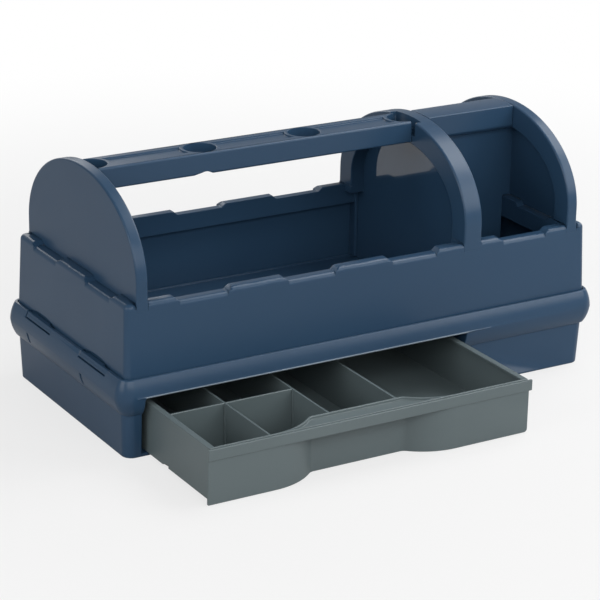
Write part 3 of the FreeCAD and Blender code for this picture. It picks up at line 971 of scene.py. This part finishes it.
@dataclass(frozen=True)
class ArchedPanels:
    """Two end arches and the middle arch.

    Attributes:
        edge_radius: Radius of their edges.
        nodes: Solids of the arches.
        polished_node: Arch with a polished face.
        polished_facing: Most that the face's normal has along X; it looks towards -X.
        polished_depth: Depth within which faces belong to the polished one.
    """

    edge_radius: float = 0.5 * MM
    nodes: tuple[str, ...] = ("left_end_arch", "middle_arch", "right_end_arch")
    polished_node: str = "middle_arch"
    polished_facing: float = -0.95
    polished_depth: float = 0.3 * MM

    def build(self) -> list[bpy.types.Object]:
        """Build the three panels and polish the middle one's face towards the tray.

        Returns:
            The panels.
        """
        panels = []
        for node in self.nodes:
            made = Moulding(node, Body.HOUSING.value, BLUE, self.edge_radius).build()
            if node == self.polished_node:
                self._polish(made.data)
            panels.append(made)
        return panels

    def _polish(self, mesh: bpy.types.Mesh) -> None:
        """Dress the widest face that looks at the tool tray in the polished finish.

        Args:
            mesh: Mesh of the middle arch.
        """
        facing = [face for face in mesh.polygons if face.normal.x < self.polished_facing]
        level = max(facing, key=lambda face: face.area).center.x
        level_faces = [face for face in facing if abs(face.center.x - level) < self.polished_depth]
        dress(mesh, level_faces, POLISHED_BLUE)


@dataclass(frozen=True)
class CarryHandle:
    """Channelled handle bar with its cups."""

    edge_radius: float = 0.6 * MM

    def build(self) -> list[bpy.types.Object]:
        """Build the handle.

        Returns:
            The bar.
        """
        return [Moulding("carry_handle", Body.HOUSING.value, BLUE, self.edge_radius).build()]


@dataclass(frozen=True)
class DeepWell:
    """Capping bar and partition of the well."""

    bridge_edge: float = 1.0 * MM
    partition_edge: float = 0.8 * MM

    def build(self) -> list[bpy.types.Object]:
        """Build the well's two pieces.

        Returns:
            The bar and the partition.
        """
        return [
            Moulding("well_bridge", Body.HOUSING.value, BLUE, self.bridge_edge).build(),
            Moulding("well_partition", Body.HOUSING.value, BLUE, self.partition_edge).build(),
        ]


@dataclass(frozen=True)
class GuideRibs:
    """Upright ribs on the cross dividers that hold the long divider, made by a node tree.

    Attributes:
        name: Name of the piece.
        held: Divider that stands between the ribs.
        holders: Dividers that carry the ribs.
        proud: How far a rib stands out of its divider on each side.
        width: Width of a rib.
        corner: Radius of a rib's corners.
        corner_steps: Points on each corner.
        gap: Gap between a rib and the divider that it holds.
        foot_gap: Gap under a rib's foot.
        top_drop: Drop from the divider's top to the rib's top.
    """

    name: str = "divider_guide_ribs"
    held: str = "long_divider"
    holders: tuple[str, ...] = ("cross_divider_left", "cross_divider_middle")
    proud: float = 0.7 * MM
    width: float = 2.4 * MM
    corner: float = 0.5 * MM
    corner_steps: int = 3
    gap: float = 0.1 * MM
    foot_gap: float = 0.1 * MM
    top_drop: float = 1.0 * MM

    def build(self) -> bpy.types.Object:
        """Build the ribs as one plain mesh on the drawer.

        Returns:
            The finished object.
        """
        low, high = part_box(self.holders[0])
        sizes = {
            "Depth": high.x - low.x + 2 * self.proud,
            "Width": self.width,
            "Corner": self.corner,
            "Height": high.z - low.z - self.foot_gap - self.top_drop,
            "Material": GREY.material(),
        }
        seed = bpy.data.meshes.new("guide_rib_feet")
        seed.from_pydata(self._feet(), [], [])
        draft = placed("guide_rib_draft", seed)
        modifier = draft.modifiers.new("ribs", "NODES")
        modifier.node_group = self._tree()
        for item in modifier.node_group.interface.items_tree:
            if item.in_out == Way.IN.value and item.name in sizes:
                modifier[item.identifier] = sizes[item.name]
        mesh = baked(draft)
        bpy.data.objects.remove(draft)
        mesh.name = self.name
        made = placed(self.name, mesh)
        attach(made, Body.DRAWER.value)
        return made

    def _feet(self) -> list[Triple]:
        """Work out where the ribs stand.

        Returns:
            Foot of each rib, beside the long divider on the dividers that it meets.
        """
        low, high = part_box(self.held)
        reach = self.gap + self.width / 2
        feet = []
        for node in self.holders:
            cross_low, cross_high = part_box(node)
            middle = (cross_low.x + cross_high.x) / 2
            for y in (low.y - reach, high.y + reach):
                feet.append((middle, y, cross_low.z + self.foot_gap))
        return feet

    def _tree(self) -> bpy.types.NodeTree:
        """Build the node tree that stands a rib on every point.

        Returns:
            Geometry node tree with named inputs.
        """
        tree = bpy.data.node_groups.new("guide_ribs", "GeometryNodeTree")
        add_sockets(tree, Way.IN, {"Geometry": Kind.GEOMETRY})
        add_sockets(tree, Way.IN, dict.fromkeys(("Depth", "Width", "Corner", "Height"), Kind.FLOAT))
        add_sockets(tree, Way.IN, {"Material": Kind.MATERIAL})
        add_sockets(tree, Way.OUT, {"Geometry": Kind.GEOMETRY})
        graph = Graph(tree)
        given = graph.add("NodeGroupInput").outputs
        section = graph.add(
            "GeometryNodeCurvePrimitiveQuadrilateral", {"Width": given["Depth"], "Height": given["Width"]}
        )
        rounded = graph.add(
            "GeometryNodeFilletCurve",
            {"Curve": section.outputs[0], "Radius": given["Corner"], "Count": self.corner_steps},
            mode="POLY",
        )
        top = graph.add("ShaderNodeCombineXYZ", {"Z": given["Height"]})
        line = graph.add("GeometryNodeCurvePrimitiveLine", {"End": top.outputs[0]})
        rib = graph.add(
            "GeometryNodeCurveToMesh",
            {"Curve": line.outputs[0], "Profile Curve": rounded.outputs[0], "Fill Caps": True},
        )
        points = graph.add("GeometryNodeMeshToPoints", {"Mesh": given["Geometry"]})
        ribs = graph.add(
            "GeometryNodeInstanceOnPoints", {"Points": points.outputs[0], "Instance": rib.outputs[0]}
        )
        solid = graph.add("GeometryNodeRealizeInstances", {"Geometry": ribs.outputs[0]})
        dressed = graph.add(
            "GeometryNodeSetMaterial", {"Geometry": solid.outputs[0], "Material": given["Material"]}
        )
        graph.add("NodeGroupOutput", {"Geometry": dressed.outputs[0]})
        return tree


@dataclass(frozen=True)
class PartsDrawer:
    """Sliding drawer with its front and dividers."""

    tub_edge: float = 0.6 * MM
    front_edge: float = 0.5 * MM
    divider_edge: float = 0.5 * MM
    dividers: tuple[str, ...] = (
        "long_divider",
        "cross_divider_left",
        "cross_divider_middle",
        "cross_divider_right",
    )

    def build(self) -> list[bpy.types.Object]:
        """Build the drawer.

        Returns:
            The tub, the front, the dividers and their guide ribs.
        """
        edges = {"drawer_tub": self.tub_edge, "drawer_front": self.front_edge}
        edges |= dict.fromkeys(self.dividers, self.divider_edge)
        made = [Moulding(node, Body.DRAWER.value, GREY, edge).build() for node, edge in edges.items()]
        return [*made, GuideRibs().build()]


@dataclass(frozen=True)
class SoftBox:
    """One square studio lamp that looks at the caddy."""

    name: str
    place: Triple
    size: float
    power: float
    target: Triple = (0.0, 0.0, 0.1)

    def build(self) -> None:
        """Add the lamp."""
        lamp = bpy.data.lights.new(self.name, "AREA")
        lamp.size = self.size
        lamp.energy = self.power
        made = placed(self.name, lamp)
        made.location = self.place
        aim = Vector(self.target) - Vector(self.place)
        made.rotation_euler = aim.to_track_quat("-Z", "Y").to_euler()


@dataclass(frozen=True)
class Studio:
    """Pale floor, white surroundings and soft lamps.

    Attributes:
        floor_half: Half of the floor's side.
        floor_colour: Grey level of the paper.
        floor_glow: Share of white that the camera sees of the floor beside the caddy.
        floor_gloss: Share of white that glossy surfaces mirror of the floor.
        shadow_reach: Distance from the middle within which the floor keeps its shadow.
        white_reach: Distance past which the camera sees the floor white.
        ambient: Light level of the surroundings.
        horizon_gloss: Share of white that glossy surfaces mirror of the horizon.
        ceiling_gloss: The same share of the ceiling.
        horizon_height: Sine of the elevation at which the horizon ends.
        ceiling_height: Sine of the elevation at which the ceiling begins.
        lamps: Soft boxes around the caddy.
    """

    floor_half: float = 6.0
    floor_colour: float = 0.5
    floor_glow: float = 0.72
    floor_gloss: float = 0.15
    shadow_reach: float = 0.35
    white_reach: float = 1.1
    ambient: float = 0.24
    horizon_gloss: float = 0.3
    ceiling_gloss: float = 0.05
    horizon_height: float = math.sin(math.radians(8))
    ceiling_height: float = math.sin(math.radians(30))
    lamps: tuple[SoftBox, ...] = (
        SoftBox("camera_softbox", place=(-1.0, -1.8, 1.3), size=1.2, power=17.0),
        SoftBox("front_softbox", place=(0.2, -2.0, 1.2), size=1.2, power=16.0),
        SoftBox("left_softbox", place=(-1.9, -0.3, 0.9), size=1.2, power=16.0),
        SoftBox("right_softbox", place=(1.2, -0.5, 1.7), size=1.2, power=10.0),
        SoftBox("near_top_softbox", place=(0.55, 0.0, 0.95), size=0.6, power=4.8),
        SoftBox("near_right_softbox", place=(0.75, -0.75, 0.6), size=0.6, power=4.0),
        SoftBox("rear_softbox", place=(0.2, 2.1, 1.2), size=1.2, power=12.0),
        SoftBox("far_right_softbox", place=(1.9, 0.4, 0.9), size=1.2, power=9.0),
    )

    def build(self) -> None:
        """Build the floor, the surroundings and the lamps."""
        bpy.context.scene.view_settings.view_transform = "Standard"
        self._floor()
        self._surroundings()
        for lamp in self.lamps:
            lamp.build()

    @staticmethod
    def _seen(graph: Graph, gloss: object) -> bpy.types.NodeSocket:
        """Share of the white that a ray shows of the surroundings.

        Args:
            graph: Helper on a shader tree.
            gloss: Share for glossy rays, as a value or a socket.

        Returns:
            Socket that is 1 for camera and transmission rays and the given share for glossy rays.
        """
        rays = graph.add("ShaderNodeLightPath").outputs
        mirrored = graph.math("MULTIPLY", rays["Is Glossy Ray"], gloss)
        either = graph.math("MAXIMUM", rays["Is Camera Ray"], mirrored)
        return graph.math("MAXIMUM", either, rays["Is Transmission Ray"])

    def _floor(self) -> None:
        """Lay the floor, which keeps the shadow near the caddy and fades to white around it."""
        half = self.floor_half
        corners = [(-half, -half, 0), (half, -half, 0), (half, half, 0), (-half, half, 0)]
        mesh = bpy.data.meshes.new("studio_floor")
        mesh.from_pydata(corners, [], [(0, 1, 2, 3)])
        mesh.materials.append(self._paper())
        placed("studio_floor", mesh)

    def _paper(self) -> bpy.types.Material:
        """Make the floor's material.

        Returns:
            Matte paper that shows white far from the caddy.
        """
        paper = bpy.data.materials.new("floor_paper")
        paper.use_nodes = True
        paper.node_tree.nodes.clear()
        graph = Graph(paper.node_tree)
        shade = (self.floor_colour,) * 3 + (1.0,)
        matte = graph.add("ShaderNodeBsdfDiffuse", {"Color": shade})
        glow = graph.add("ShaderNodeEmission", {"Color": WHITE, "Strength": 1.0})
        place = graph.add("ShaderNodeTexCoord").outputs["Object"]
        reach = graph.add("ShaderNodeVectorMath", {0: place}, operation="LENGTH").outputs["Value"]
        spread = graph.ramp(
            reach, (self.shadow_reach, self.white_reach), (self.floor_glow, 1.0), "SMOOTHSTEP"
        )
        share = graph.math("MULTIPLY", self._seen(graph, self.floor_gloss), spread)
        mix = graph.add("ShaderNodeMixShader", {0: share, 1: matte.outputs[0], 2: glow.outputs[0]})
        graph.add("ShaderNodeOutputMaterial", {"Surface": mix.outputs[0]})
        return paper

    def _surroundings(self) -> None:
        """Fill the surroundings with white at a plain level, mirrored less towards the ceiling."""
        world = bpy.data.worlds.new("white_studio")
        world.use_nodes = True
        world.node_tree.nodes.clear()
        graph = Graph(world.node_tree)
        aim = graph.add("ShaderNodeTexCoord").outputs["Generated"]
        height = graph.add("ShaderNodeSeparateXYZ", {0: aim}).outputs["Z"]
        fade = graph.ramp(
            height,
            (self.horizon_height, self.ceiling_height),
            (self.horizon_gloss, self.ceiling_gloss),
        )
        level = graph.math("MULTIPLY_ADD", self._seen(graph, fade), 1.0 - self.ambient, self.ambient)
        light = graph.add("ShaderNodeBackground", {"Color": WHITE, "Strength": level})
        graph.add("ShaderNodeOutputWorld", {"Surface": light.outputs[0]})
        bpy.context.scene.world = world


@dataclass(frozen=True)
class PhotoCamera:
    """Camera at the photograph's place and angle.

    Attributes:
        place: Centre of the lens.
        heading: Turn of the view from +Y towards +X.
        fall: Angle of the view below the horizon.
        roll: Turn about the view.
        focal_pixels: Focal length in pixels of the photograph.
        image_pixels: Width of the photograph in pixels.
        sensor_width: Width of the sensor in millimetres.
        clip_end: Farthest distance that is drawn.
    """

    place: Triple = (-1.0045, -1.6624, 0.7840)
    heading: float = math.radians(31.036)
    fall: float = math.radians(20.329)
    roll: float = math.radians(1.093)
    focal_pixels: float = 2353.4
    image_pixels: float = 600.0
    sensor_width: float = 36.0
    clip_end: float = 50.0

    def build(self) -> None:
        """Add the camera and make it the scene's own."""
        ahead = Vector((
            math.sin(self.heading) * math.cos(self.fall),
            math.cos(self.heading) * math.cos(self.fall),
            -math.sin(self.fall),
        ))
        level = Vector((math.cos(self.heading), -math.sin(self.heading), 0.0))
        upright = level.cross(ahead)
        right = level * math.cos(self.roll) + upright * math.sin(self.roll)
        up = upright * math.cos(self.roll) - level * math.sin(self.roll)
        lens = bpy.data.cameras.new("photo_camera")
        lens.sensor_width = self.sensor_width
        lens.lens = self.focal_pixels / self.image_pixels * self.sensor_width
        lens.clip_end = self.clip_end
        made = placed("photo_camera", lens)
        turn = Matrix((right, up, -ahead)).transposed().to_4x4()
        made.matrix_world = Matrix.Translation(self.place) @ turn
        bpy.context.scene.camera = made


def main() -> None:
    """Build the camera, the studio and the caddy in order, and report each piece."""
    logging.basicConfig(level=logging.INFO, format="%(message)s")
    PhotoCamera().build()
    Studio().build()
    assemblies = (
        BaseHousing(),
        RimClips(),
        ToolTray(),
        ArchedPanels(),
        CarryHandle(),
        DeepWell(),
        PartsDrawer(),
    )
    for assembly in assemblies:
        for piece in assembly.build():
            LOG.info("%s: %d faces", piece.name, len(piece.data.polygons))


if __name__ == "__main__":
    main()
